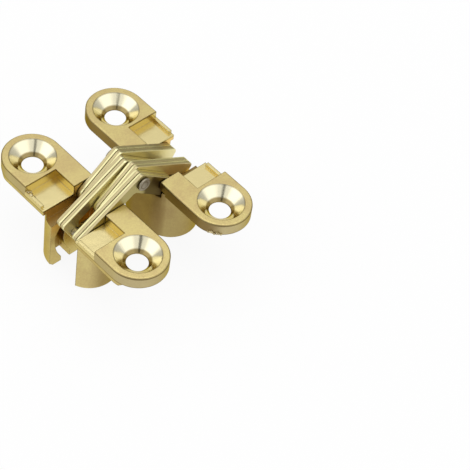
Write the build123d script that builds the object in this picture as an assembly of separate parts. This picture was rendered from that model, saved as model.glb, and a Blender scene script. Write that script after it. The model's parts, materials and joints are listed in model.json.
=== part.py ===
from build123d import *
import math
import os

# Invisible (concealed mortise) hinge, shown fully open.
# Row frame: +X from leaf A to leaf B, +Y along the pins, +Z out of the leaf faces.
# Z = 0 is the plane of the two barrel bottoms, X = 0 lies midway between the leaves.
# One leaf is drawn in its own frame: x across (towards the other leaf), z = 0 at its face.
# Leaf B, its pins and the B links are leaf A's, turned half round Z.

# Leaf casting
LEAF_LENGTH = 45.0
LEAF_WIDTH = 12.7
FLANGE_THICKNESS = 2.8
FACE_EDGE_CHAMFER = 0.25
BARREL_LENGTH = 17.0
BARREL_WIDTH = 12.2
BARREL_DEPTH = 17.6
BARREL_EDGE_CHAMFER = 0.9
SCREW_HOLE_DIAMETER = 4.5
COUNTERSINK_DIAMETER = 9.7
COUNTERSINK_ANGLE = 90.0
RECESS_DEPTH = 2.4
RECESS_END = 10.6
RECESS_INNER_X = 1.4
LIP_WIDTH = 0.75
LIP_DROP = 1.7
LIP_STOP = 0.8
INNER_WALL = 2.1
BACK_RIB_WIDTH = 2.2
BACK_RIB_HEIGHT = 0.9
BACK_RIB_PAST_SCREW = 1.5
EJECTOR_MARK_DIAMETER = 3.2
EJECTOR_MARK_DEPTH = 0.2

# Link plates
PLATE_THICKNESS = 1.05
LIMB_WIDTH = 2.7
FOOT_HEIGHT = 3.0
FOOT_REACH = 2.4
PLATE_FLUSH = 0.1
ELBOW_RISE = 1.1
ELBOW_INSIDE = 2.3
PIVOT_EYE_RADIUS = 2.1
PLATE_CORNER_RADIUS = 0.9
FOOT_TIP_RADIUS = 1.3

# Pins
PIVOT_PIN_DIAMETER = 1.8
CROSS_PIN_DIAMETER = 1.8
CROSS_HEAD_DIAMETER = 3.0
CROSS_HEAD_HEIGHT = 0.45
SLIDER_PIN_DIAMETER = 2.0
PIVOT_PIN_SEAT = 1.6
SLIDER_END_WALL = 0.3

# Link geometry: pivot and closed positions in a leaf's frame, and the turn on the pivot pin
PIVOT_X = 4.3
PIVOT_BELOW_FACE = 2.9
CROSS_X = -3.9
SLIDER_X = -2.0
SLIDER_ABOVE_BOTTOM = 1.6
PIVOT_TURN = 120.0
FULL_TURN = 180.0

# Clearances
CLOSED_FACE_GAP = 0.2
MIDDLE_GAP = 0.3
PLATE_CLEARANCE = 0.12
SLOT_CLEARANCE = 0.15
SLOT_FLOOR_CLEARANCE = 0.2
PIN_CLEARANCE = 0.04
SEAT_CLEARANCE = 0.02
GROOVE_CLEARANCE = 0.1
END_CLEARANCE = 0.15
FOOT_CLEARANCE = 0.2
RIB_CLEARANCE = 0.3
CUT_PAST = 1.0
PATH_STEP = 0.01
PATH_STEPS = 6
ARC_SHARES = (0, 0.4, 0.75, 1)

# Places that follow from the sizes above
half_width = LEAF_WIDTH / 2
screw_y = (LEAF_LENGTH - LEAF_WIDTH) / 2
screw_hole_r = SCREW_HOLE_DIAMETER / 2
countersink_r = COUNTERSINK_DIAMETER / 2
pivot_r = PIVOT_PIN_DIAMETER / 2
cross_r = CROSS_PIN_DIAMETER / 2
slider_r = SLIDER_PIN_DIAMETER / 2
groove_r = slider_r + GROOVE_CLEARANCE

plate_pitch = PLATE_THICKNESS + PLATE_CLEARANCE
pair = plate_pitch + PLATE_THICKNESS
near_pair = (MIDDLE_GAP / 2, MIDDLE_GAP / 2 + pair)
far_pair = (near_pair[1] + PLATE_CLEARANCE, near_pair[1] + PLATE_CLEARANCE + pair)
stack_y = far_pair[1]
slot_y = stack_y + SLOT_CLEARANCE
own_slot_middle = near_pair[0] - SLOT_CLEARANCE
own_slot_top = near_pair[1] + PLATE_CLEARANCE / 2 + SLOT_CLEARANCE
own_slot_low = far_pair[0] - SLOT_CLEARANCE

pivot = (PIVOT_X, -PIVOT_BELOW_FACE)
cross_closed = (CROSS_X, CLOSED_FACE_GAP / 2)
slider_closed = (SLIDER_X, -BARREL_DEPTH + SLIDER_ABOVE_BOTTOM)
slider_turn = FULL_TURN - PIVOT_TURN
slot_floor = -(PIVOT_BELOW_FACE + PIVOT_EYE_RADIUS + SLOT_FLOOR_CLEARANCE)
inner_wall_x = BARREL_WIDTH / 2 - INNER_WALL


def polar(length, degrees):
    """Point at a distance and direction from the origin, in the plane across the pins."""
    return length * math.cos(math.radians(degrees)), length * math.sin(math.radians(degrees))


def reach(start, end):
    """Distance and direction from one point to another."""
    across, up = end[0] - start[0], end[1] - start[1]
    return math.hypot(across, up), math.degrees(math.atan2(up, across))


def cross_at(share):
    """Crossing pin in leaf A's frame, from closed (share 0) to open (share 1)."""
    length, closed = reach(pivot, cross_closed)
    across, up = polar(length, closed - PIVOT_TURN * share)
    return pivot[0] + across, pivot[1] + up


def slider_at(share):
    """Slider pin in leaf A's frame, from closed (share 0) to open (share 1)."""
    length, closed = reach(cross_closed, slider_closed)
    across, up = polar(length, closed - slider_turn * share)
    centre = cross_at(share)
    return centre[0] + across, centre[1] + up


cross_open = cross_at(1)
slider_open = slider_at(1)
slider_path = [slider_at(step / PATH_STEPS) for step in range(PATH_STEPS + 1)]
groove_outer_x = min(x for x, z in slider_path) - groove_r
rib_front_x = max(x for x, z in slider_path) + slider_r + RIB_CLEARANCE
half_spacing = cross_open[0]
to_row = Pos(-half_spacing, 0, BARREL_DEPTH)
half_turn = Rot(0, 0, 180)


def block(x, y, z):
    """Box between two limits on each axis."""
    corner = Pos((x[0] + x[1]) / 2, (y[0] + y[1]) / 2, (z[0] + z[1]) / 2)
    return corner * Box(x[1] - x[0], y[1] - y[0], z[1] - z[0])


def across_pins(sketch, y):
    """Prism along the pins, between two y limits, of a sketch in x and z."""
    return extrude(Plane.XZ.offset(-y[1]) * sketch, y[1] - y[0])


def pin(centre, diameter, y):
    """Round pin along y."""
    return across_pins(Pos(*centre) * Circle(diameter / 2), y)


def stadium(length, width, depth):
    """Round-ended plate along y, from the face down."""
    outline = Rot(0, 0, 90) * SlotOverall(length, width)
    return extrude(outline, -depth)


def barrel_half_length(x):
    """Half of the barrel's length at one place across it."""
    radius = BARREL_WIDTH / 2
    return BARREL_LENGTH / 2 - radius + math.sqrt(radius**2 - x**2)


def screw_cutters():
    """Countersunk through holes in both ears."""
    depth = (countersink_r - screw_hole_r) / math.tan(math.radians(COUNTERSINK_ANGLE / 2))
    cone = Pos(0, 0, -depth / 2) * Cone(screw_hole_r, countersink_r, depth)
    hole = Pos(0, 0, -FLANGE_THICKNESS) * Cylinder(screw_hole_r, 3 * FLANGE_THICKNESS)
    return [Pos(0, side * screw_y, 0) * (cone + hole) for side in (1, -1)]


def recess_cutters():
    """Room for the crossing pin's heads beside the slots, behind a low lip at the outer edge."""
    lip_x = -half_width + LIP_WIDTH
    past_x = -half_width - CUT_PAST
    floor = (lip_x, RECESS_INNER_X), (-RECESS_DEPTH, CUT_PAST)
    lip = (past_x, lip_x), (-LIP_DROP, CUT_PAST)
    end = (past_x, lip_x), (-RECESS_DEPTH, CUT_PAST)
    cutters = []
    for side in (1, -1):
        for (x, z), last in ((floor, RECESS_END), (lip, RECESS_END), (end, slot_y + LIP_STOP)):
            cutters.append(block(x, sorted((0, side * last)), z))
    return cutters


def slot_cutters():
    """Slots for both plate sets under the face, and the own plates' slots down to the bottom."""
    across = (-half_width - CUT_PAST, half_width + CUT_PAST)
    shallow = (slot_floor, CUT_PAST)
    deep = (-BARREL_DEPTH - CUT_PAST, CUT_PAST)
    own = (-half_width - CUT_PAST, inner_wall_x)
    window = (-half_width - CUT_PAST, rib_front_x)
    return [
        block(across, (-slot_y, slot_y), shallow),
        block(own, (own_slot_middle, own_slot_top), deep),
        block(own, (-slot_y, -own_slot_low), deep),
        block(window, (-slot_y, own_slot_top), deep),
    ]


def beside_path(share, offset):
    """Point beside the slider pin's path, to the left of its way from closed to open."""
    (x0, z0), (x1, z1) = slider_at(share - PATH_STEP), slider_at(share + PATH_STEP)
    length = math.hypot(x1 - x0, z1 - z0)
    x, z = slider_at(share)
    return x - offset * (z1 - z0) / length, z + offset * (x1 - x0) / length


def arcs_beside(offset, shares):
    """Chain of arcs beside the slider pin's path, with their ends at the given shares of the way."""
    chain = []
    for start, end in zip(shares, shares[1:]):
        points = [beside_path(share, offset) for share in (start, (start + end) / 2, end)]
        chain.append(ThreePointArc(*points))
    return chain


def groove_sketch():
    """Groove that the slider pin runs in, open at the bottom of the barrel where the pin is put in."""
    outer = arcs_beside(groove_r, ARC_SHARES)
    inner = arcs_beside(-groove_r, ARC_SHARES[:-1])
    sides = outer + inner + [Line(outer[0] @ 0, inner[0] @ 0), Line(outer[-1] @ 1, inner[-1] @ 1)]
    foot_z = (-BARREL_DEPTH - CUT_PAST, slider_closed[1])
    foot = Pos(slider_closed[0], sum(foot_z) / 2) * Rectangle(2 * groove_r, foot_z[1] - foot_z[0])
    ends = [Pos(*place) * Circle(groove_r) for place in (slider_closed, slider_open)]
    return make_face(sides) + foot + ends


def groove_cutters():
    """Slider grooves in the two cheeks."""
    cheeks = (own_slot_top, groove_end_y), (-groove_end_y, -slot_y)
    return [across_pins(groove_sketch(), y) for y in cheeks]


def pivot_seat():
    """Seat of the pivot pin, open towards the inner side where the pin is laid in."""
    seat_r = pivot_r + SEAT_CLEARANCE
    mouth = half_width + CUT_PAST - PIVOT_X
    opening = Pos(PIVOT_X + mouth / 2, pivot[1]) * Rectangle(mouth, 2 * seat_r)
    y_end = pivot_y[1] + END_CLEARANCE
    return across_pins(Pos(*pivot) * Circle(seat_r) + opening, (-y_end, y_end))


def back_ribs():
    """Ribs on the backs of the ears, along the outer edge, with sloping ends."""
    outline = stadium(LEAF_LENGTH, LEAF_WIDTH, FLANGE_THICKNESS + BACK_RIB_HEIGHT)
    last = screw_y + BACK_RIB_PAST_SCREW
    low = -FLANGE_THICKNESS - BACK_RIB_HEIGHT
    side_view = Polyline(
        (-last - BACK_RIB_HEIGHT, -FLANGE_THICKNESS),
        (-last, low),
        (last, low),
        (last + BACK_RIB_HEIGHT, -FLANGE_THICKNESS),
        close=True,
    )
    rib = extrude(Plane.YZ.offset(-half_width) * make_face(side_view), BACK_RIB_WIDTH)
    return rib & outline


def leaf_casting():
    """One leaf in its own frame: flange, barrel and everything cut into them."""
    flange = stadium(LEAF_LENGTH, LEAF_WIDTH, FLANGE_THICKNESS)
    flange = chamfer(flange.faces().sort_by(Axis.Z)[-1].edges(), FACE_EDGE_CHAMFER)
    barrel = stadium(BARREL_LENGTH, BARREL_WIDTH, BARREL_DEPTH)
    barrel = chamfer(barrel.faces().sort_by(Axis.Z)[0].edges(), BARREL_EDGE_CHAMFER)
    leaf = flange + barrel + back_ribs()
    mark_y = -(screw_y - screw_hole_r + barrel_half_length(0)) / 2
    mark = Pos(0, mark_y, -FLANGE_THICKNESS) * Cylinder(EJECTOR_MARK_DIAMETER / 2, 2 * EJECTOR_MARK_DEPTH)
    cutters = screw_cutters() + recess_cutters() + slot_cutters() + groove_cutters()
    for cutter in cutters + [pivot_seat(), mark]:
        leaf -= cutter
    return leaf


def plate_outline():
    """L-shaped link plate with its three holes, in leaf A's frame with the hinge closed."""
    outer = -half_width + PLATE_FLUSH
    inner = outer + LIMB_WIDTH
    bottom = -BARREL_DEPTH + FOOT_CLEARANCE
    eye = (PIVOT_X, CLOSED_FACE_GAP + PIVOT_BELOW_FACE)
    limb_direction = reach(cross_closed, eye)[1]
    above = polar(PIVOT_EYE_RADIUS, limb_direction + 90)
    deep_corner = (outer, bottom)
    elbow = (outer, ELBOW_RISE)
    tip_low, tip_high = (FOOT_REACH, bottom), (FOOT_REACH, bottom + FOOT_HEIGHT)
    instep = (inner, bottom + FOOT_HEIGHT)
    crook = (inner, -ELBOW_INSIDE)
    outline = Polyline(
        deep_corner,
        tip_low,
        tip_high,
        instep,
        crook,
        (eye[0] - above[0], eye[1] - above[1]),
        (eye[0] + above[0], eye[1] + above[1]),
        elbow,
        close=True,
    )
    plate = make_face(outline)

    def near(point):
        return plate.vertices().sort_by_distance((*point, 0))[0]

    plate = fillet([near(tip_low), near(tip_high)], FOOT_TIP_RADIUS)
    plate = fillet([near(p) for p in (deep_corner, elbow, instep, crook)], PLATE_CORNER_RADIUS)
    plate += Pos(*eye) * Circle(PIVOT_EYE_RADIUS)
    holes = (
        (eye, pivot_r),
        (cross_closed, cross_r),
        (slider_closed, slider_r),
    )
    for place, radius in holes:
        plate -= Pos(*place) * Circle(radius + PIN_CLEARANCE)
    return plate


def link_plates():
    """Leaf A's four link plates in the row frame, open, from +Y to -Y."""
    plate = plate_outline()
    from_closed = Pos(-cross_closed[0], 0, -cross_closed[1])
    swing = Pos(cross_open[0], 0, cross_open[1]) * Rot(0, slider_turn, 0) * from_closed
    top_faces = (near_pair[1], near_pair[1] - plate_pitch, -far_pair[0], -far_pair[0] - plate_pitch)
    return [to_row * swing * across_pins(plate, (y - PLATE_THICKNESS, y)) for y in top_faces]


def cross_pin():
    """Riveted pin through all eight plates where they cross."""
    head_y = stack_y + PLATE_CLEARANCE
    rivet = pin(cross_open, CROSS_PIN_DIAMETER, (-head_y, stack_y))
    rivet += pin(cross_open, CROSS_HEAD_DIAMETER, (stack_y, stack_y + CROSS_HEAD_HEIGHT))
    rivet += pin(cross_open, CROSS_HEAD_DIAMETER, (-head_y - CROSS_HEAD_HEIGHT, -head_y))
    return to_row * rivet


pivot_y = (-slot_y - PIVOT_PIN_SEAT, slot_y + PIVOT_PIN_SEAT)
groove_end_y = barrel_half_length(groove_outer_x) - SLIDER_END_WALL
slider_y = (-groove_end_y + END_CLEARANCE, groove_end_y - END_CLEARANCE)

nodes = {
    "leaf_a": to_row * leaf_casting(),
    "pivot_pin_a": to_row * pin(pivot, PIVOT_PIN_DIAMETER, pivot_y),
    "slider_pin_a": to_row * pin(slider_open, SLIDER_PIN_DIAMETER, slider_y),
    "cross_pin": cross_pin(),
}
plates = link_plates()
for number, plate in enumerate(plates, start=1):
    nodes[f"link_a{number}"] = plate
    nodes[f"link_b{len(plates) + 1 - number}"] = half_turn * plate
for name in ("leaf_{}", "pivot_pin_{}", "slider_pin_{}"):
    nodes[name.format("b")] = half_turn * nodes[name.format("a")]

os.makedirs("parts", exist_ok=True)
for name, solid in nodes.items():
    export_step(solid, f"parts/{name}.step")

print("leaf spacing", round(2 * half_spacing, 3))
print("crossing pin height", round(BARREL_DEPTH + cross_open[1], 3))
print("pivot at x", round(half_spacing - PIVOT_X, 3), "height", round(BARREL_DEPTH - PIVOT_BELOW_FACE, 3))
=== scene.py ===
"""Looks of an open invisible hinge: plated leaf castings, link plates and steel pins on a pale floor."""

import json
import logging
import math
from dataclasses import dataclass
from enum import Enum
from typing import Any, ClassVar

import bmesh
import bpy
from mathutils import Matrix, Vector, noise

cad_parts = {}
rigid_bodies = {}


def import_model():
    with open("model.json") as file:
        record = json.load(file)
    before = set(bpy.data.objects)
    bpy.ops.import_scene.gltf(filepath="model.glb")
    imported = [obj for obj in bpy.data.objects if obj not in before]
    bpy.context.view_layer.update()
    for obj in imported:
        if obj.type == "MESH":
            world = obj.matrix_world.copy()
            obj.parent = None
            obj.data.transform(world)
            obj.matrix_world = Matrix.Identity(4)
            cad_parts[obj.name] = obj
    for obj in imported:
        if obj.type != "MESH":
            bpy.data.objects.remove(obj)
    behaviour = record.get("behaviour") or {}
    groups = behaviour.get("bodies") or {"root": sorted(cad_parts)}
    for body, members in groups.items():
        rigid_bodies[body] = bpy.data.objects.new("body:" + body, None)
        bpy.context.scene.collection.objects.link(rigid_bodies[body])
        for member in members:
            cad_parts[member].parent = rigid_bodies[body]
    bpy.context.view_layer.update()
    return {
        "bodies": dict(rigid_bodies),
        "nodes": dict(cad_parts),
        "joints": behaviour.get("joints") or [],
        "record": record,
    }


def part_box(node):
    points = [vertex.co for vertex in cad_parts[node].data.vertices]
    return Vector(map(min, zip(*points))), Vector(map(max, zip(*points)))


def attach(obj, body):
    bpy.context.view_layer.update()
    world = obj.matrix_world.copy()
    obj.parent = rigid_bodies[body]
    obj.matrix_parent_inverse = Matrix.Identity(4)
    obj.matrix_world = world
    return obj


log = logging.getLogger("hinge")

MM = 0.001

Colour = tuple[float, float, float]
Triple = tuple[float, float, float]
Span = tuple[float, float]
Socket = bpy.types.NodeSocket

WHITE: Colour = (1.0, 1.0, 1.0)
FULL: Span = (0.0, 1.0)


class Slot(Enum):
    """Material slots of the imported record."""

    CASTING = "plated_casting"
    PLATES = "link_plates"
    PINS = "steel_pins"


EDGE_RADII = {Slot.CASTING: 0.15, Slot.PLATES: 0.08, Slot.PINS: 0.12}


class Graph:
    """Adds nodes to a shader tree and links them."""

    def __init__(self, tree: bpy.types.NodeTree) -> None:
        """Start from an empty tree."""
        self.tree = tree
        tree.nodes.clear()

    def set(self, socket: Socket, value: Any) -> None:
        """Link an output to an input, or give the input a value.

        Args:
            socket: The input.
            value: Output socket to link from, or the value.
        """
        if isinstance(value, bpy.types.NodeSocket):
            self.tree.links.new(value, socket)
        elif isinstance(value, tuple) and len(value) + 1 == len(socket.default_value):
            socket.default_value = (*value, 1.0)
        else:
            socket.default_value = value

    def add(self, kind: str, inputs: dict[str | int, Any] | None = None, **settings: Any) -> bpy.types.Node:
        """Add one node.

        Args:
            kind: Blender's name of the node type.
            inputs: Socket values, or output sockets to link from.
            settings: Properties of the node.

        Returns:
            The new node.
        """
        node = self.tree.nodes.new(kind)
        for name, value in settings.items():
            setattr(node, name, value)
        for key, value in (inputs or {}).items():
            self.set(node.inputs[key], value)
        return node

    def group(self, tree: bpy.types.NodeTree, inputs: dict[str | int, Any]) -> Any:
        """Add a group node and return its outputs."""
        return self.add("ShaderNodeGroup", inputs, node_tree=tree).outputs

    def math(self, operation: str, *values: Any) -> Socket:
        """Work on numbers or sockets with the named operation."""
        return self.add("ShaderNodeMath", dict(enumerate(values)), operation=operation).outputs[0]

    def vector(self, operation: str, output: str, *values: Any) -> Socket:
        """Work on vectors or sockets with the named operation and return the named output."""
        return self.add("ShaderNodeVectorMath", dict(enumerate(values)), operation=operation).outputs[output]

    def times(self, first: Any, *others: Any) -> Socket:
        """Multiply values.

        Args:
            first: First number or socket.
            others: The numbers or sockets that follow.

        Returns:
            The product.
        """
        for other in others:
            first = self.math("MULTIPLY", first, other)
        return first

    def absolute(self, value: Socket) -> Socket:
        """Take the sign off a value."""
        return self.math("ABSOLUTE", value)

    def remainder(self, share: Socket) -> Socket:
        """Give what a share leaves of 1."""
        return self.math("SUBTRACT", 1.0, share)

    def split(self, vector: Socket) -> tuple[Socket, Socket, Socket]:
        """Split a vector into its three components."""
        parts = self.add("ShaderNodeSeparateXYZ", {0: vector}).outputs
        return parts["X"], parts["Y"], parts["Z"]

    def radius(self, across: Socket, along: Socket, centre: Span) -> Socket:
        """Measure how far two coordinates lie from a centre."""
        flat = self.add("ShaderNodeCombineXYZ", {0: across, 1: along}).outputs[0]
        return self.vector("DISTANCE", "Value", flat, (*centre, 0.0))

    def stretch(self, where: Socket, per_mm: Triple) -> Socket:
        """Stretch coordinates to a number of features per millimetre on each axis."""
        return self.vector("MULTIPLY", "Vector", where, tuple(count / MM for count in per_mm))

    def noise(self, where: Socket, scale: Any, detail: float = 3.0, rough: float = 0.55) -> Socket:
        """Add a noise from 0 to 1, of so many octaves, with the weight of each finer one."""
        values = {"Vector": where, "Scale": scale, "Detail": detail, "Roughness": rough}
        return self.add("ShaderNodeTexNoise", values).outputs["Fac"]

    def ramp(self, value: Socket, span: Span, low: float = 0.0, high: float = 1.0) -> Socket:
        """Map a span of a value smoothly to the span from low to high."""
        values = {"Value": value, "From Min": span[0], "From Max": span[1], "To Min": low, "To Max": high}
        return self.add("ShaderNodeMapRange", values, interpolation_type="SMOOTHSTEP").outputs["Result"]

    def ramp_mm(self, value: Socket, span: Span, low: float = 0.0, high: float = 1.0) -> Socket:
        """Map a span of a length, in millimetres, smoothly to the span from low to high."""
        return self.ramp(value, (span[0] * MM, span[1] * MM), low, high)

    def band(self, value: Socket, middle: float, half: float) -> Socket:
        """Mark with 1 the middle of a band, fading to 0 at half its width."""
        return self.ramp(self.absolute(self.math("SUBTRACT", value, middle)), (0.0, half), 1.0, 0.0)

    def band_mm(self, value: Socket, middle: float, half: float) -> Socket:
        """Mark with 1 the middle of a band in millimetres, fading to 0 at half its width."""
        return self.band(value, middle * MM, half * MM)

    def blend(self, share: Any, first: Any, second: Any) -> Socket:
        """Mix two colours, by the share of the second."""
        return self.add("ShaderNodeMix", {0: share, 6: first, 7: second}, data_type="RGBA").outputs[2]

    def mix(self, share: Any, first: Any, second: Any) -> Socket:
        """Mix two numbers, by the share of the second."""
        return self.add("ShaderNodeMix", {0: share, 2: first, 3: second}, data_type="FLOAT").outputs[0]


def effect_group(
    name: str, inputs: dict[str, str], outputs: dict[str, str],
) -> tuple[bpy.types.NodeTree, Graph, Any]:
    """Start a shader node group with named sockets.

    Args:
        name: Name of the group.
        inputs: Socket type of each input, by name.
        outputs: Socket type of each output, by name.

    Returns:
        The group's tree, its graph and the outputs of its input node.
    """
    tree = bpy.data.node_groups.new(name, "ShaderNodeTree")
    for side, sockets in (("INPUT", inputs), ("OUTPUT", outputs)):
        for label, kind in sockets.items():
            tree.interface.new_socket(name=label, in_out=side, socket_type=f"NodeSocket{kind}")
    graph = Graph(tree)
    return tree, graph, graph.add("NodeGroupInput").outputs


@dataclass(frozen=True)
class Effects:
    """Shader node groups that the finishes share."""

    SLOW_PATCHES: ClassVar[Span] = (0.34, 0.66)
    FINE_PATCHES: ClassVar[Span] = (0.3, 0.7)
    FINE_SHARE: ClassVar[float] = 0.45
    PITS_TO_GRAIN: ClassVar[float] = 0.45
    PITTED: ClassVar[Span] = (0.70, 0.78)
    CLOSED_IN: ClassVar[Span] = (0.05, 0.55)
    EDGE_TURN: ClassVar[Span] = (0.86, 0.99)
    RAYS: ClassVar[int] = 8

    grain: bpy.types.NodeTree
    crevice: bpy.types.NodeTree
    edge: bpy.types.NodeTree

    @classmethod
    def build(cls) -> "Effects":
        """Make all the groups."""
        return cls(cls.surface_grain(), cls.crevice_shade_mask(), cls.edge_line())

    @classmethod
    def surface_grain(cls) -> bpy.types.NodeTree:
        """Make the tumbled grain that every metal surface shows.

        Returns:
            A group with a fine height, a slow mottle and scattered pits.
        """
        tree, graph, entry = effect_group(
            "surface_grain",
            {"Vector": "Vector", "Grain per mm": "Float", "Mottle per mm": "Float"},
            {"Height": "Float", "Mottle": "Float", "Pits": "Float"},
        )
        where = graph.stretch(entry["Vector"], (1.0, 1.0, 1.0))
        fine = graph.noise(where, entry["Grain per mm"], rough=0.6)
        slow = graph.noise(where, entry["Mottle per mm"], detail=4.0)
        pits_per_mm = graph.times(entry["Grain per mm"], cls.PITS_TO_GRAIN)
        specks = graph.noise(where, pits_per_mm, detail=1.0, rough=0.4)
        patches = graph.ramp(slow, cls.SLOW_PATCHES), graph.ramp(fine, cls.FINE_PATCHES)
        graph.add("NodeGroupOutput", {
            "Height": fine,
            "Mottle": graph.mix(cls.FINE_SHARE, *patches),
            "Pits": graph.ramp(specks, cls.PITTED),
        })
        return tree

    @classmethod
    def crevice_shade_mask(cls) -> bpy.types.NodeTree:
        """Make the mask of places that are closed in by their own piece, where shade is painted.

        Returns:
            A group whose value is 1 in a crevice and 0 in the open.
        """
        tree, graph, entry = effect_group("crevice_shade_mask", {"Reach": "Float"}, {"Crevice": "Float"})
        open_air = graph.add(
            "ShaderNodeAmbientOcclusion", {"Distance": entry["Reach"]}, samples=cls.RAYS, only_local=True)
        graph.add("NodeGroupOutput", {"Crevice": graph.ramp(open_air.outputs["AO"], cls.CLOSED_IN, 1.0, 0.0)})
        return tree

    @classmethod
    def edge_line(cls) -> bpy.types.NodeTree:
        """Make the mask of narrow lines along the edges, where a dark reflection is painted, and the normal
        of softly rounded edges.

        Returns:
            A group with both.
        """
        tree, graph, entry = effect_group(
            "edge_line", {"Radius": "Float"}, {"Edge": "Float", "Normal": "Vector"})
        soft = graph.add("ShaderNodeBevel", {"Radius": entry["Radius"]}, samples=cls.RAYS).outputs["Normal"]
        true = graph.add("ShaderNodeNewGeometry").outputs["Normal"]
        edge = graph.ramp(graph.vector("DOT_PRODUCT", "Value", soft, true), cls.EDGE_TURN, 1.0, 0.0)
        graph.add("NodeGroupOutput", {"Edge": edge, "Normal": soft})
        return tree


@dataclass
class Surface:
    """What a finish feeds to its shader."""

    graph: Graph
    where: Socket
    normal: Socket
    colour: Socket
    rough: Socket
    height: Socket
    # Weight of the painted crevice shade.
    crevice_shade_weight: Any = 1.0

    def paint(self, share: Any, colour: Any) -> None:
        """Lay a colour over a share of the surface."""
        self.colour = self.graph.blend(share, self.colour, colour)

    def polish(self, share: Any, rough: Any) -> None:
        """Give a share of the surface another roughness."""
        self.rough = self.graph.mix(share, self.rough, rough)


@dataclass(frozen=True)
class MetalFinish:
    """One metal surface: its colours, gloss and grain, with lengths in millimetres."""

    name: str
    bright: Colour
    deep: Colour
    # Colour of the painted shade in crevices.
    crevice: Colour
    # Colour of the painted dark reflection along edges.
    edge: Colour
    gloss: float
    dull: float
    grain_per_mm: float
    mottle_per_mm: float
    grain_height: float
    crevice_reach: float
    edge_radius: float
    edge_share: float

    def material(self, effects: Effects) -> bpy.types.Material:
        """Make the finish as a material.

        Args:
            effects: The shared groups.

        Returns:
            The material.
        """
        material = bpy.data.materials.new(self.name)
        material.use_nodes = True
        graph = Graph(material.node_tree)
        places = graph.add("ShaderNodeTexCoord").outputs
        grain = graph.group(effects.grain, {
            "Vector": places["Object"],
            "Grain per mm": self.grain_per_mm,
            "Mottle per mm": self.mottle_per_mm,
        })
        surface = Surface(
            graph=graph,
            where=places["Object"],
            normal=places["Normal"],
            colour=graph.blend(grain["Mottle"], self.deep, self.bright),
            rough=graph.ramp(grain["Mottle"], FULL, self.dull, self.gloss),
            height=graph.math("SUBTRACT", grain["Height"], grain["Pits"]),
        )
        self.detail(graph, surface)
        line = graph.group(effects.edge, {"Radius": self.edge_radius * MM})
        # Mask of the painted shade in crevices.
        closed = graph.group(effects.crevice, {"Reach": self.crevice_reach * MM})["Crevice"]
        # Painted dark reflection along the edges.
        surface.paint(graph.times(line["Edge"], self.edge_share), self.edge)
        # Painted shade in the crevices.
        surface.paint(graph.times(closed, surface.crevice_shade_weight), self.crevice)
        bump = graph.add("ShaderNodeBump", {
            "Strength": 1.0, "Distance": self.grain_height * MM,
            "Height": surface.height, "Normal": line["Normal"],
        })
        shader = graph.add("ShaderNodeBsdfPrincipled", {
            "Base Color": surface.colour, "Metallic": 1.0, "Specular Tint": self.bright,
            "Roughness": surface.rough, "Normal": bump.outputs["Normal"],
        })
        graph.add("ShaderNodeOutputMaterial", {"Surface": shader.outputs["BSDF"]})
        return material

    def detail(self, graph: Graph, surface: Surface) -> None:
        """Add what only this finish shows, which is nothing on plain metal."""


@dataclass(frozen=True)
class CastingPlaces:
    """Masks of the places on a leaf casting."""

    radius: Socket
    turned: Socket
    land_shade: Socket
    lip: Socket
    recess: Socket
    side: Socket
    slot_wall_light: Socket
    inner_shade_mask: Socket
    outline: Socket
    crevice_shade_weight: Socket


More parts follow.
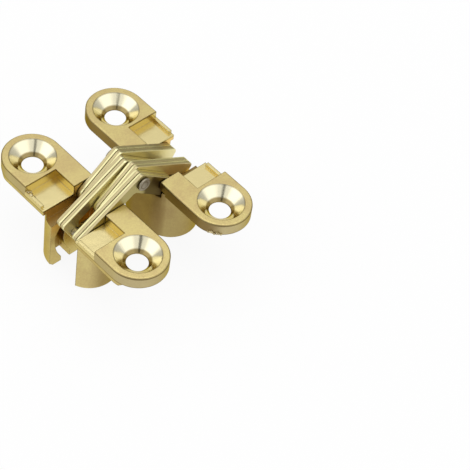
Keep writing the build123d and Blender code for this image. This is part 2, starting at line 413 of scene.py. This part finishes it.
@dataclass(frozen=True)
class CastingFinish(MetalFinish):
    """Plated casting: linished faces, turned countersinks, smooth cast recesses and painted shade on the
    inner sides.
    """

    # Paler turned finish of the countersinks, partly a painted highlight.
    turned: Colour
    # Painted shade on the hole's land inside the countersinks.
    land_shade: Colour
    cast: Colour
    # Painted shade on the flange's upright sides.
    upright_side_shade: Colour
    # Painted shade on the inner sides, slot ledges and barrel sides.
    inner_shade: Colour
    # Painted light: bright orange on the upper slot walls.
    slot_wall_light: Colour
    screw: Span

    # Heights above the barrel bottoms.
    above_back: Span = (14.85, 14.95)
    below_face: Span = (17.15, 17.30)
    under_face: Span = (17.10, 17.30)
    # Bands of the painted dark reflection on the rim and of the dark line along the flange's back edge.
    rim_line: Span = (17.32, 0.30)
    foot_line: Span = (14.85, 0.22)
    slot_floor: Span = (12.4, 0.5)
    # Heights over which the painted light on the slot walls grows.
    slot_depth: Span = (8.0, 12.0)
    # Heights over which the painted crevice shade grows to its full share.
    sheltered: Span = (5.0, 11.0)
    # Distances from a screw's axis, and from the hinge's middle planes.
    countersink: Span = (4.79, 4.85)
    # Band of the painted dark reflection round the countersinks' rims.
    lip_line: Span = (4.80, 0.22)
    # Edge of the painted shade on the hole's land.
    land_edge: Span = (2.75, 3.10)
    recess_end: Span = (10.6, 10.7)
    recess_start: Span = (9.4, 9.5)
    slot_side: Span = (5.1, 5.3)
    # Parts of the normal that tell which way a place faces.
    upright: Span = (0.3, 0.6)
    level: Span = (0.5, 0.8)
    crosswise: Span = (0.5, 0.9)
    facing_in: Span = (0.55, 0.95)
    round_barrel: Span = (-0.7, -0.2)
    # Strength of each effect.
    upright_side_shade_share: float = 0.7
    foot_share: float = 0.7
    lip_share: float = 0.5
    slot_light_share: float = 0.9
    barrel_shade_share: float = 0.56
    inner_shade_share: float = 0.85
    # Weights of the painted crevice shade on recesses and countersinks, and low down.
    smooth_shelter: float = 0.35
    deep_shelter: float = 0.3
    cast_rough: float = 0.24
    turned_rough: float = 0.15
    # Relief.
    lines_per_mm: Triple = (7.0, 0.5, 2.0)
    line_depth: float = 0.9
    lumps_per_mm: float = 0.55
    lump_depth: float = 5.0
    ring_pitch: float = 0.16
    ring_depth: float = 0.06

    def detail(self, graph: Graph, surface: Surface) -> None:
        """Add the relief and the tones of each place.

        Args:
            graph: Graph of the material.
            surface: Surface to change.
        """
        places = self.places(graph, surface)
        self.relief(graph, surface, places)
        # Painted shade on the flange's upright sides.
        surface.paint(graph.times(places.side, self.upright_side_shade_share), self.upright_side_shade)
        # Painted light: bright orange on the upper slot walls.
        surface.paint(places.slot_wall_light, self.slot_wall_light)
        # Painted shade on the inner sides, slot ledges and barrel sides.
        surface.paint(places.inner_shade_mask, self.inner_shade)
        surface.paint(places.recess, self.cast)
        # Painted dark reflection along the face's rim, and a dark line along the flange's back edge.
        surface.paint(graph.times(places.outline, self.edge_share), self.edge)
        # Countersinks: paler turned finish, partly a painted highlight, and painted shade on the hole's land.
        surface.paint(places.turned, graph.blend(places.land_shade, self.turned, self.land_shade))
        # Painted dark reflection round the countersinks' rims.
        surface.paint(graph.times(places.lip, self.lip_share), self.edge)
        surface.polish(places.recess, self.cast_rough)
        surface.polish(places.turned, self.turned_rough)
        # Weight of the painted crevice shade: less on recesses and countersinks, and less low down.
        surface.crevice_shade_weight = places.crevice_shade_weight

    def places(self, graph: Graph, surface: Surface) -> CastingPlaces:
        """Find the places by their coordinates and by the way they face.

        Args:
            graph: Graph of the material.
            surface: Surface to look at.

        Returns:
            The masks.
        """
        x, y, z = graph.split(surface.where)
        nx, ny, nz = graph.split(surface.normal)
        across, along = graph.absolute(x), graph.absolute(y)
        radius = graph.radius(across, along, self.screw)
        flange = graph.ramp_mm(z, self.above_back)
        under_face = graph.ramp_mm(z, self.under_face, 1.0, 0.0)
        off_slot = graph.ramp_mm(along, self.slot_side)
        inward = graph.times(nx, graph.math("SIGN", x), -1.0)
        # Turned countersinks, whose paler colour is partly a painted highlight.
        turned = graph.times(graph.ramp_mm(radius, self.countersink, 1.0, 0.0), flange)
        recess = graph.times(
            graph.ramp_mm(z, self.below_face, 1.0, 0.0), graph.ramp_mm(along, self.recess_end, 1.0, 0.0),
            graph.ramp_mm(across, self.recess_start), flange,
        )
        # Painted shade on faces turned inward under the face, and on level ledges in the slots.
        inner = graph.math(
            "MAXIMUM",
            graph.times(graph.ramp(inward, self.facing_in), under_face),
            graph.times(graph.ramp(nz, self.level), graph.band_mm(z, *self.slot_floor)),
        )
        # Painted shade on the barrel below the flange, except where it faces outward.
        barrel = graph.times(
            graph.ramp(inward, self.round_barrel, 0.0, self.barrel_shade_share), graph.remainder(flange), off_slot)
        foot = graph.times(graph.band_mm(z, *self.foot_line), self.foot_share)
        smooth = graph.ramp(graph.math("MAXIMUM", recess, turned), FULL, 1.0, self.smooth_shelter)
        return CastingPlaces(
            radius=radius,
            turned=turned,
            # Painted shade on the hole's land.
            land_shade=graph.ramp_mm(radius, self.land_edge, 1.0, 0.0),
            lip=graph.times(graph.band_mm(radius, *self.lip_line), flange),
            recess=recess,
            # Upright sides of the flange, which take painted shade.
            side=graph.times(graph.ramp(graph.absolute(nz), self.upright, 1.0, 0.0), flange),
            # Upper slot walls, which take painted light.
            slot_wall_light=graph.times(
                graph.remainder(off_slot), graph.ramp(graph.absolute(ny), self.crosswise),
                graph.ramp_mm(z, self.slot_depth, 0.0, self.slot_light_share), under_face,
            ),
            inner_shade_mask=graph.math("MAXIMUM", graph.times(inner, self.inner_shade_share), barrel),
            outline=graph.math("MAXIMUM", graph.band_mm(z, *self.rim_line), foot),
            crevice_shade_weight=graph.times(smooth, graph.ramp_mm(z, self.sheltered, self.deep_shelter, 1.0)),
        )

    def relief(self, graph: Graph, surface: Surface, places: CastingPlaces) -> None:
        """Add the linished lines, the lumps of the recesses and the turned rings.

        Args:
            graph: Graph of the material.
            surface: Surface to change.
            places: Masks of the casting.
        """
        lines = graph.noise(graph.stretch(surface.where, self.lines_per_mm), 1.0, rough=0.6)
        lumps = graph.noise(surface.where, self.lumps_per_mm / MM, detail=2.0, rough=0.4)
        rings = graph.math("SINE", graph.times(places.radius, math.tau / (self.ring_pitch * MM)))
        linished = graph.math("ADD", surface.height, graph.times(lines, self.line_depth))
        cast = graph.mix(places.recess, linished, graph.times(lumps, self.lump_depth))
        surface.height = graph.mix(places.turned, cast, graph.times(rings, self.ring_depth))


@dataclass(frozen=True)
class LinkFinish(MetalFinish):
    """Plated stampings: a burnished and a torn band along every sheared edge, painted shade on the outermost
    faces, and more round the outer eyes.
    """

    broad: Colour
    # Painted shade on the outermost plates' outer faces.
    outer: Colour
    torn: Colour
    line: Colour
    # Painted shade round the outer eyes.
    eye_shade: Colour
    eye: Span

    first_face: float = 0.15
    pitch: float = 1.17
    edgewise: Span = (0.3, 0.7)
    torn_from: Span = (0.36, 0.48)
    border: Span = (0.42, 0.09)
    torn_share: float = 0.8
    line_share: float = 0.7
    tears_per_mm: Triple = (5.0, 0.6, 5.0)
    tear_sway: float = 0.02
    tear_depth: float = 0.5
    outermost: Span = (4.5, 4.6)
    # Reach, strength and noisy border of the painted shade round the eyes.
    eye_shade_reach: Span = (6.2, 7.8)
    eye_shade_share: float = 0.95
    wobbles_per_mm: float = 0.6
    wobble: float = 2.0

    def detail(self, graph: Graph, surface: Surface) -> None:
        """Add the broad faces, the bands of the sheared edges and the painted shade on the outermost faces
        and round the outer eyes.

        Args:
            graph: Graph of the material.
            surface: Surface to change.
        """
        from_middle = graph.absolute(graph.split(surface.where)[1])
        sideways = graph.absolute(graph.split(surface.normal)[1])
        sheared = graph.ramp(sideways, self.edgewise, 1.0, 0.0)
        broad = graph.remainder(sheared)
        surface.paint(broad, self.broad)
        surface.polish(broad, self.dull)
        self.shear(graph, surface, from_middle, sheared)
        outermost = graph.times(graph.ramp_mm(from_middle, self.outermost), broad)
        # Painted shade on the outermost plates' outer faces.
        surface.paint(outermost, self.outer)
        # Painted shade round the outer eyes, below the rivet head.
        surface.paint(graph.times(self.eye_shade_mask(graph, surface), outermost), self.eye_shade)

    def shear(self, graph: Graph, surface: Surface, from_middle: Socket, sheared: Socket) -> None:
        """Add the torn band of the sheared edges and the line where it starts.

        Args:
            graph: Graph of the material.
            surface: Surface to change.
            from_middle: Distance from the hinge's middle plane.
            sheared: Mask of the sheared edges.
        """
        into_pack = graph.math("SUBTRACT", from_middle, self.first_face * MM)
        through = graph.math("FRACT", graph.math("DIVIDE", into_pack, self.pitch * MM))
        tears = graph.noise(graph.stretch(surface.where, self.tears_per_mm), 1.0)
        swayed = graph.math("ADD", through, graph.times(tears, self.tear_sway))
        torn = graph.times(graph.ramp(swayed, self.torn_from), sheared)
        border = graph.times(graph.band(swayed, *self.border), sheared)
        surface.paint(graph.times(torn, self.torn_share), self.torn)
        surface.paint(graph.times(border, self.line_share), self.line)
        surface.polish(torn, self.dull)
        surface.height = graph.math("ADD", surface.height, graph.times(tears, self.tear_depth, torn))

    def eye_shade_mask(self, graph: Graph, surface: Surface) -> Socket:
        """Find the surroundings of the eyes that take the painted shade, with a noisy border.

        Args:
            graph: Graph of the material.
            surface: Surface to look at.

        Returns:
            The mask.
        """
        x, y, z = graph.split(surface.where)
        toward_eye = graph.times(x, graph.math("SIGN", y), -1.0)
        wobble = graph.times(graph.noise(surface.where, self.wobbles_per_mm / MM, rough=0.6), self.wobble * MM)
        sway = graph.math("SUBTRACT", wobble, self.wobble / 2 * MM)
        reach = graph.math("ADD", graph.radius(toward_eye, z, self.eye), sway)
        return graph.ramp_mm(reach, self.eye_shade_reach, self.eye_shade_share, 0.0)


@dataclass(frozen=True)
class PinFinish(MetalFinish):
    """Plain steel pins: a ring formed on the riveted heads."""

    ring: Colour
    rivet: Span

    ring_line: Span = (0.85, 0.2)
    ring_depth: float = 8.0
    ring_share: float = 0.8

    def detail(self, graph: Graph, surface: Surface) -> None:
        """Add the ring of the rivet heads.

        Args:
            graph: Graph of the material.
            surface: Surface to change.
        """
        x, _, z = graph.split(surface.where)
        ring = graph.band_mm(graph.radius(x, z, self.rivet), *self.ring_line)
        surface.height = graph.math("SUBTRACT", surface.height, graph.times(ring, self.ring_depth))
        surface.paint(graph.times(ring, self.ring_share), self.ring)


BROKEN_FLASH = MetalFinish(
    name="broken_casting_flash", bright=(0.92, 0.82, 0.50), deep=(0.16, 0.10, 0.03),
    crevice=(0.10, 0.06, 0.02), edge=(0.20, 0.13, 0.05), gloss=0.22, dull=0.5, grain_per_mm=6.0,
    mottle_per_mm=2.2, grain_height=0.01, crevice_reach=0.4, edge_radius=0.05, edge_share=0.3,
)


def finishes(record: dict[str, Any]) -> dict[Slot, MetalFinish]:
    """Set the finish of every material slot, at the places that the record gives.

    Args:
        record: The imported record.

    Returns:
        The finishes by slot.
    """
    screws = next(row for row in record["mounts"] if row["name"] == "leaf_b_screws")
    pins_at = {row["name"]: row["pos_m"] for row in record["behaviour"]["joints"]}
    rivet, pivot = pins_at["links_crossing"], pins_at["leaf_b_pivot"]
    casting = CastingFinish(
        name="brass_plated_casting", bright=(0.68, 0.575, 0.24), deep=(0.56, 0.432, 0.20),
        crevice=(0.72, 0.43, 0.13), edge=(0.15, 0.10, 0.035), gloss=0.32, dull=0.42, grain_per_mm=2.6,
        mottle_per_mm=0.2, grain_height=0.006, crevice_reach=9.0, edge_radius=0.25, edge_share=0.85,
        turned=(0.90, 0.84, 0.60), land_shade=(0.32, 0.245, 0.105), cast=(0.74, 0.63, 0.31),
        upright_side_shade=(0.50, 0.425, 0.25), inner_shade=(0.20, 0.125, 0.045), slot_wall_light=(0.95, 0.68, 0.27),
        screw=(screws["pos_m"][0], screws["dims"]["spacing_y_mm"] / 2 * MM),
    )
    links = LinkFinish(
        name="plated_link_steel", bright=(0.84, 0.78, 0.44), deep=(0.74, 0.68, 0.36),
        crevice=(0.10, 0.07, 0.03), edge=(0.12, 0.10, 0.045), gloss=0.26, dull=0.42, grain_per_mm=6.0,
        mottle_per_mm=0.35, grain_height=0.004, crevice_reach=1.4, edge_radius=0.1, edge_share=0.85,
        broad=(0.93, 0.86, 0.53), outer=(0.44, 0.38, 0.18), torn=(0.50, 0.415, 0.23), line=(0.22, 0.19, 0.08),
        eye_shade=(0.09, 0.06, 0.03), eye=(abs(pivot[0]), pivot[2]),
    )
    pins = PinFinish(
        name="dull_pin_steel", bright=(0.42, 0.38, 0.30), deep=(0.30, 0.265, 0.20),
        crevice=(0.08, 0.055, 0.03), edge=(0.12, 0.10, 0.07), gloss=0.30, dull=0.45, grain_per_mm=6.0,
        mottle_per_mm=0.9, grain_height=0.004, crevice_reach=1.2, edge_radius=0.1, edge_share=0.5,
        ring=(0.14, 0.11, 0.07), rivet=(rivet[0], rivet[2]),
    )
    return {Slot.CASTING: casting, Slot.PLATES: links, Slot.PINS: pins}


@dataclass
class MetalPieces:
    """CAD nodes that share one finish and one edge rounding, with lengths in millimetres."""

    slot: Slot
    material: bpy.types.Material
    edge_radius: float
    edge_segments: int = 2
    sharp_angle: float = 32.0
    flat_angle: float = 0.5
    weld_distance: float = 0.0005

    def dress(self, frame: dict[str, Any]) -> None:
        """Give every node of the slot its material and its rounded edges.

        Args:
            frame: The loaded frame.
        """
        for row in frame["record"]["subparts"]:
            if row["material_slot"] != self.slot.value:
                continue
            piece = frame["nodes"][row["node"]]
            for holder in piece.material_slots:
                holder.material = self.material
            self.round_edges(piece)
            log.info("dressed %s in %s", piece.name, self.material.name)

    def round_edges(self, piece: bpy.types.Object) -> None:
        """Round a node's sharp edges by modifiers, with its mesh left as it is.

        Args:
            piece: The node's object.
        """
        weld = piece.modifiers.new("join_triangles", "WELD")
        weld.merge_threshold = self.weld_distance * MM
        flat = piece.modifiers.new("merge_flats", "DECIMATE")
        flat.decimate_type = "DISSOLVE"
        flat.angle_limit = math.radians(self.flat_angle)
        bevel = piece.modifiers.new("edge_radius", "BEVEL")
        bevel.width = self.edge_radius * MM
        bevel.segments = self.edge_segments
        bevel.limit_method = "ANGLE"
        bevel.angle_limit = math.radians(self.sharp_angle)
        bevel.use_clamp_overlap = True
        bevel.harden_normals = True
        smooth = piece.modifiers.new("even_normals", "WEIGHTED_NORMAL")
        smooth.keep_sharp = True


@dataclass
class CastingFlash:
    """Broken remnants of casting flash that cling to a leaf, each lump with its place and radius."""

    name: str
    body: str
    lumps: list[tuple[float, float, float, float]]
    squeeze: Triple = (1.0, 1.0, 0.7)
    turn_step: float = 0.9
    roughness: float = 0.45
    dent_size: float = 0.45
    subdivisions: int = 3

    def build(self, material: bpy.types.Material) -> None:
        """Make the lumps as one piece that rides on its leaf.

        Args:
            material: Finish of the broken metal.
        """
        mesh = bmesh.new()
        for number, (x, y, z, radius) in enumerate(self.lumps):
            turn = Matrix.Rotation(self.turn_step * number, 4, "Z") @ Matrix.Diagonal((*self.squeeze, 1.0))
            place = Matrix.Translation(Vector((x, y, z)) * MM) @ turn
            made = bmesh.ops.create_icosphere(
                mesh, subdivisions=self.subdivisions, radius=radius * MM, matrix=place)
            centre = place.translation
            for vertex in made["verts"]:
                away = vertex.co - centre
                swell = noise.noise(away / (self.dent_size * radius * MM) + Vector((number, 0.0, 0.0)))
                vertex.co = centre + away * (1.0 + self.roughness * swell)
        data = bpy.data.meshes.new(self.name)
        mesh.to_mesh(data)
        mesh.free()
        data.materials.append(material)
        piece = bpy.data.objects.new(self.name, data)
        bpy.context.scene.collection.objects.link(piece)
        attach(piece, self.body)
        log.info("made %s on %s", self.name, self.body)


EAR_CENTRE: Span = (10.998, -16.15)
EAR_RADIUS = 6.33
EAR_LUMPS = (
    # Degrees round the ear's end, height and radius.
    (206, 15.1, 0.30), (211, 15.3, 0.42), (217, 15.05, 0.36), (223, 15.25, 0.44), (229, 15.0, 0.30),
)
RECESS_LUMPS = [
    (-16.9, 10.2, 15.9, 0.34), (-16.6, 9.7, 15.5, 0.42), (-16.9, 9.2, 15.9, 0.36), (-16.5, 8.8, 15.25, 0.34),
    (-16.3, 10.35, 15.35, 0.40),
]


def casting_flash() -> list[CastingFlash]:
    """Place the flash where the photograph shows it.

    Returns:
        The remnants.
    """
    row = []
    for degrees, height, radius in EAR_LUMPS:
        angle = math.radians(degrees)
        x, y = EAR_CENTRE[0] + EAR_RADIUS * math.cos(angle), EAR_CENTRE[1] + EAR_RADIUS * math.sin(angle)
        row.append((x, y, height, radius))
    return [
        CastingFlash("flash_ear_b", "swinging_leaf", row),
        CastingFlash("flash_recess_a", "fixed_leaf", RECESS_LUMPS),
    ]


@dataclass(frozen=True)
class Panel:
    """Soft-edged pale or dark patch of the studio, fading between two cosines from its direction."""

    toward: Triple
    fade: Span
    strength: float


@dataclass
class Studio:
    """Floor, lights and camera of the photograph: angles in degrees, the camera and floor in millimetres."""

    azimuth: float = -50.46
    elevation: float = 49.07
    roll: float = 9.69
    distance: float = 346.4
    across: float = -21.69
    upward: float = 11.30
    focal_pixels: float = 1729.5
    frame_pixels: float = 470.0
    sensor: float = 36.0
    clip: Span = (10.0, 20000.0)
    floor_size: float = 560.0
    fade: Span = (60.0, 260.0)
    floor_colour: Colour = (0.86, 0.86, 0.86)
    seen_share: float = 0.91
    mirrored_floor: float = 1.0
    mirrored_sky: float = 0.15
    sky_heights: Span = (-0.1, 0.8)
    sky_levels: Span = (0.29, 0.905)
    panels: tuple[Panel, ...] = (
        Panel((0.277, -0.819, 0.50), (0.78, 0.97), 1.3),
        Panel((-0.752, 0.427, 0.50), (0.80, 0.97), 1.53),
        Panel((0.90, 0.43, -0.02), (0.89, 0.98), 0.0),
        Panel((-0.60, -0.49, 0.63), (0.987, 0.996), 0.0),
    )
    lamp_place: Triple = (100.0, 150.0, 900.0)
    lamp_size: float = 700.0
    lamp_watts: float = 1.6

    def build(self) -> None:
        """Set up the whole studio."""
        face_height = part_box("leaf_a")[1].z
        self.camera(Vector((0.0, 0.0, face_height)))
        self.floor()
        self.world()
        self.lamp()
        bpy.context.scene.view_settings.view_transform = "Standard"

    def axes(self) -> Matrix:
        """Work out the camera's axes.

        Returns:
            Matrix with the columns right, up and back.
        """
        az, el, roll = (math.radians(v) for v in (self.azimuth, self.elevation, self.roll))
        back = Vector((math.sin(az) * math.cos(el), -math.cos(az) * math.cos(el), math.sin(el)))
        level = Vector((math.cos(az), math.sin(az), 0.0))
        above = back.cross(level)
        right = level * math.cos(roll) + above * math.sin(roll)
        up = above * math.cos(roll) - level * math.sin(roll)
        return Matrix((right, up, back)).transposed()

    def camera(self, target: Vector) -> None:
        """Make the camera at the photograph's angle.

        Args:
            target: Point that the camera's distance and offsets are counted from.
        """
        data = bpy.data.cameras.new("camera")
        data.sensor_width = self.sensor
        data.lens = self.focal_pixels / self.frame_pixels * self.sensor
        data.clip_start, data.clip_end = (reach * MM for reach in self.clip)
        turn = self.axes()
        place = target + turn @ Vector((-self.across, -self.upward, self.distance)) * MM
        camera = bpy.data.objects.new("camera", data)
        camera.matrix_world = Matrix.Translation(place) @ turn.to_4x4()
        bpy.context.scene.collection.objects.link(camera)
        bpy.context.scene.camera = camera

    def white_rays(self, graph: Graph, mirrored_share: float) -> Socket:
        """Tell how far a ray sees the white background in place of the lit studio.

        Args:
            graph: Graph of the floor or the world.
            mirrored_share: Share of the white that the metal mirrors.

        Returns:
            1 for what the camera sees, the share for what the metal mirrors, 0 for light.
        """
        path = graph.add("ShaderNodeLightPath").outputs
        mirrored = graph.math("MAXIMUM", path["Is Glossy Ray"], path["Is Transmission Ray"])
        return graph.math("MAXIMUM", path["Is Camera Ray"], graph.times(mirrored, mirrored_share))

    def floor(self) -> None:
        """Make the pale floor, which is white to the camera and keeps the shadow."""
        bpy.ops.mesh.primitive_plane_add(size=self.floor_size * MM)
        plane = bpy.context.object
        plane.name = "floor"
        material = bpy.data.materials.new("pale_floor")
        material.use_nodes = True
        graph = Graph(material.node_tree)
        matt = graph.add("ShaderNodeBsdfDiffuse", {"Color": self.floor_colour})
        white = graph.add("ShaderNodeEmission", {"Color": WHITE, "Strength": 1.0})
        away = graph.vector("LENGTH", "Value", graph.add("ShaderNodeTexCoord").outputs["Object"])
        white_share = graph.ramp_mm(away, self.fade, self.seen_share, 1.0)
        share = graph.times(self.white_rays(graph, self.mirrored_floor), white_share)
        mixed = graph.add("ShaderNodeMixShader", {0: share, 1: matt.outputs[0], 2: white.outputs[0]})
        graph.add("ShaderNodeOutputMaterial", {"Surface": mixed.outputs[0]})
        plane.data.materials.append(material)

    def world(self) -> None:
        """Make the surroundings: white to the camera, a studio with pale and dark panels to the metal."""
        world = bpy.data.worlds.new("studio")
        bpy.context.scene.world = world
        world.use_nodes = True
        graph = Graph(world.node_tree)
        way = graph.add("ShaderNodeTexCoord").outputs["Generated"]
        level = graph.ramp(graph.split(way)[2], self.sky_heights, *self.sky_levels)
        for panel in self.panels:
            along = graph.vector("DOT_PRODUCT", "Value", way, Vector(panel.toward).normalized())
            level = graph.mix(graph.ramp(along, panel.fade), level, panel.strength)
        room = graph.add("ShaderNodeBackground", {"Color": WHITE, "Strength": level})
        white = graph.add("ShaderNodeBackground", {"Color": WHITE, "Strength": 1.0})
        share = self.white_rays(graph, self.mirrored_sky)
        mixed = graph.add("ShaderNodeMixShader", {0: share, 1: room.outputs[0], 2: white.outputs[0]})
        graph.add("ShaderNodeOutputWorld", {"Surface": mixed.outputs[0]})

    def lamp(self) -> None:
        """Hang the soft lamp over the hinge."""
        data = bpy.data.lights.new("over_lamp", "AREA")
        data.size = self.lamp_size * MM
        data.energy = self.lamp_watts
        lamp = bpy.data.objects.new("over_lamp", data)
        lamp.matrix_world = Matrix.Translation(Vector(self.lamp_place) * MM)
        bpy.context.scene.collection.objects.link(lamp)


def main() -> None:
    """Build the hinge's looks in order."""
    logging.basicConfig(level=logging.INFO)
    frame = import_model()
    effects = Effects.build()
    for slot, finish in finishes(frame["record"]).items():
        MetalPieces(slot, finish.material(effects), EDGE_RADII[slot]).dress(frame)
    broken = BROKEN_FLASH.material(effects)
    for remnant in casting_flash():
        remnant.build(broken)
    Studio().build()


if __name__ == "__main__":
    main()
